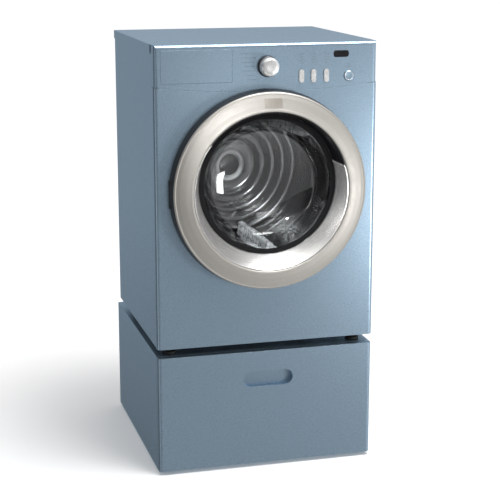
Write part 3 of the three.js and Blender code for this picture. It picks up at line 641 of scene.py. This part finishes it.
def panel_marks():
    for k in range(3):
        low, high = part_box(f"option_button_{k + 1}")
        x = (low.x + high.x) / 2 / MM
        for row, width in enumerate((17, 11, 14, 9)):
            mark(f"option_mark_{k + 1}_{row + 1}", x, 1283 - 8.5 * row, width)
    low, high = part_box("start_button")
    mark("start_mark_1", (low.x + high.x) / 2 / MM, 1244, 18)
    mark("start_mark_2", (low.x + high.x) / 2 / MM, 1251, 11)
    for k, width in enumerate((46, 36, 44, 34, 42, 30, 26)):
        mark(f"cycle_mark_{k + 1}", -36 - width / 2, 1289 - 12.8 * k, width)


# ---- Feet, rear and small hardware ----

def feet():
    for node in [n for n in NODES if "_foot_" in n]:
        low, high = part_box(node)
        at = ((low.x + high.x) / 2, (low.y + high.y) / 2)
        base, top = low.z / MM, high.z / MM
        pad = min(8, (top - base) * 0.6)
        outline = rounded([
            (0, base), (21.9, base, 1.2), (21.4, base + pad, 1.5), (8, base + pad), (7.9, top), (0, top)])
        stands_for(lathe(f"{node}_fine", outline, RUBBER, at, segments=48, axis="Z"), node)


def rear():
    low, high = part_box("rear_access_panel")
    depth = (high.y - FRONT_Y) / MM
    head = rounded([
        (0, depth + 0.1), (5.5, depth + 0.1), (5.2, depth + 1.8, 0.8), (1.5, depth + 2.6), (0, depth + 1.2)])
    for side, side_name in ((-1, "left"), (1, "right")):
        for k in range(4):
            at = (side * (high.x - 0.014), low.z + 0.02 + (high.z - low.z - 0.04) * k / 3)
            screw = lathe(f"rear_screw_{side_name}_{k + 1}", head, ZINC, at, segments=24)
            detail(screw, "machine", "zinc_steel")


panels()
dispenser()
door()
gasket()
drum()
lifters()
controls()
feet()
rear()


# ---- Studio ----

WORLD_CAMERA = 1.15
WORLD_DIFFUSE = 0.66
WORLD_REFLECTED = 0.32
# What reflections see on top: a direction, the cosines between which the change fades in, and the change
REFLECTED_SHAPES = [
    ((0, 0, 1), 0.35, 0.95, 0.85),
    ((0, 0, -1), 0.35, 0.95, 0.60),
    ((1, 0, 0), 0.35, 0.95, 0.50),
    ((-1, 0, 0), 0.25, 0.85, -0.28),
    ((0, 1, 0), 0.7, 1.0, 0.15),
    ((-0.94, -0.26, -0.22), 0.955, 0.99, 1.0),
    ((-0.30, 0.80, -0.52), 0.92, 0.99, -0.22),
]
# Each softbox: its name, its place, what it points at, its size in metres and its watts
SOFTBOXES = [
    ("right_card", (1.72, -2.2, 0.37), (0.34, -0.31, 0.76), (0.6, 0.5), 27),
    ("console_card", (0.42, -2.3, 0.98), (0, FRONT_Y, 1.24), (0.35, 0.3), 0.5),
    ("overhead", (0.8, -1.1, 4.3), (0, 0, 0.6), (2.0, 2.0), 165),
]
SPOT_AT = (-0.75, -3.2, 2.4)
SPOT_WATTS = 620
FLOOR_REACH = 60.0
CAMERA_AT = (-1.137, -4.262, 1.648)
CAMERA_TILT_DOWN = 13.06
CAMERA_TURN = -15.34
CAMERA_LENS = 100.1


def studio_floor():
    """Pale paper. It glows a little more with distance, so that it meets the white background without
    a step."""
    mesh = bpy.data.meshes.new("studio_floor")
    corners = [(x * FLOOR_REACH, y * FLOOR_REACH, 0) for x, y in ((-1, -1), (1, -1), (1, 1), (-1, 1))]
    mesh.from_pydata(corners, [], [(0, 1, 2, 3)])
    look = Look("studio_paper", (0.92, 0.92, 0.92), 0.9)
    look.tint(look.noise(2.0, 2), 0.99, 1.01)
    distance = look.node("ShaderNodeVectorMath", operation="LENGTH")
    look.link(look.coords(), distance.inputs[0])
    glow = look.spread(distance.outputs["Value"], 0.05, 0.45, 0.6, 5.0)
    look.link(glow, look.bsdf.inputs["Emission Strength"])
    mesh.materials.append(look.mat)
    floor = bpy.data.objects.new("studio_floor", mesh)
    bpy.context.scene.collection.objects.link(floor)
    floor.visible_glossy = False


def studio_world():
    """White for the camera, even for diffuse light, and for reflections a studio: bright above and to the
    right, dark to the left."""
    world = bpy.data.worlds.new("studio")
    bpy.context.scene.world = world
    world.use_nodes = True
    tree = world.node_tree

    def math_node(operation, *values):
        made = tree.nodes.new("ShaderNodeMath")
        made.operation = operation
        for socket, value in zip(made.inputs, values):
            if isinstance(value, (int, float)):
                socket.default_value = value
            else:
                tree.links.new(value, socket)
        return made.outputs["Value"]

    def ramp(value, start, end, level):
        made = tree.nodes.new("ShaderNodeMapRange")
        made.interpolation_type = "SMOOTHSTEP"
        for socket, number in zip(("From Min", "From Max", "To Max"), (start, end, level)):
            made.inputs[socket].default_value = number
        tree.links.new(value, made.inputs["Value"])
        return made.outputs["Result"]

    def cosine(axis):
        made = tree.nodes.new("ShaderNodeVectorMath")
        made.operation = "DOT_PRODUCT"
        tree.links.new(direction, made.inputs[0])
        made.inputs[1].default_value = Vector(axis).normalized()
        return made.outputs["Value"]

    direction = tree.nodes.new("ShaderNodeTexCoord").outputs["Generated"]
    level = WORLD_REFLECTED
    for axis, start, end, change in REFLECTED_SHAPES:
        level = math_node("ADD", ramp(cosine(axis), start, end, change), level)
    path = tree.nodes.new("ShaderNodeLightPath")
    mirrored = math_node("MAXIMUM", path.outputs["Is Glossy Ray"], path.outputs["Is Transmission Ray"])
    seen = math_node("MULTIPLY", math_node("SUBTRACT", 1.0, mirrored), WORLD_DIFFUSE)
    studio = math_node("MULTIPLY", mirrored, level)
    camera_ray = math_node("MULTIPLY", path.outputs["Is Camera Ray"], WORLD_CAMERA - WORLD_DIFFUSE)
    strength = math_node("ADD", math_node("ADD", seen, studio), camera_ray)
    tree.links.new(strength, tree.nodes["Background"].inputs["Strength"])
    tree.nodes["Background"].inputs["Color"].default_value = (1, 1, 1, 1)


def add_lamp(name, light, at, target):
    lamp = bpy.data.objects.new(name, light)
    bpy.context.scene.collection.objects.link(lamp)
    lamp.location = at
    lamp.rotation_euler = (Vector(target) - Vector(at)).to_track_quat("-Z", "Y").to_euler()


def studio_lights():
    for name, at, target, size, watts in SOFTBOXES:
        light = bpy.data.lights.new(name, "AREA")
        light.shape = "RECTANGLE"
        light.size, light.size_y = size
        light.energy = watts
        add_lamp(name, light, at, target)
    spot = bpy.data.lights.new("porthole_spot", "SPOT")
    spot.energy = SPOT_WATTS
    spot.spot_size = math.radians(8.0)
    spot.spot_blend = 0.3
    spot.shadow_soft_size = 0.06
    add_lamp("porthole_spot", spot, SPOT_AT, (0, FRONT_Y, DOOR_Z))


def camera():
    lens = bpy.data.cameras.new("photo_camera")
    lens.lens = CAMERA_LENS
    lens.sensor_width = 36
    lens.clip_end = 200
    view = bpy.data.objects.new("photo_camera", lens)
    bpy.context.scene.collection.objects.link(view)
    view.location = CAMERA_AT
    view.rotation_euler = (math.radians(90 - CAMERA_TILT_DOWN), 0, math.radians(CAMERA_TURN))
    bpy.context.scene.camera = view


studio_floor()
studio_world()
studio_lights()
camera()
bpy.context.scene.view_settings.view_transform = "Standard"
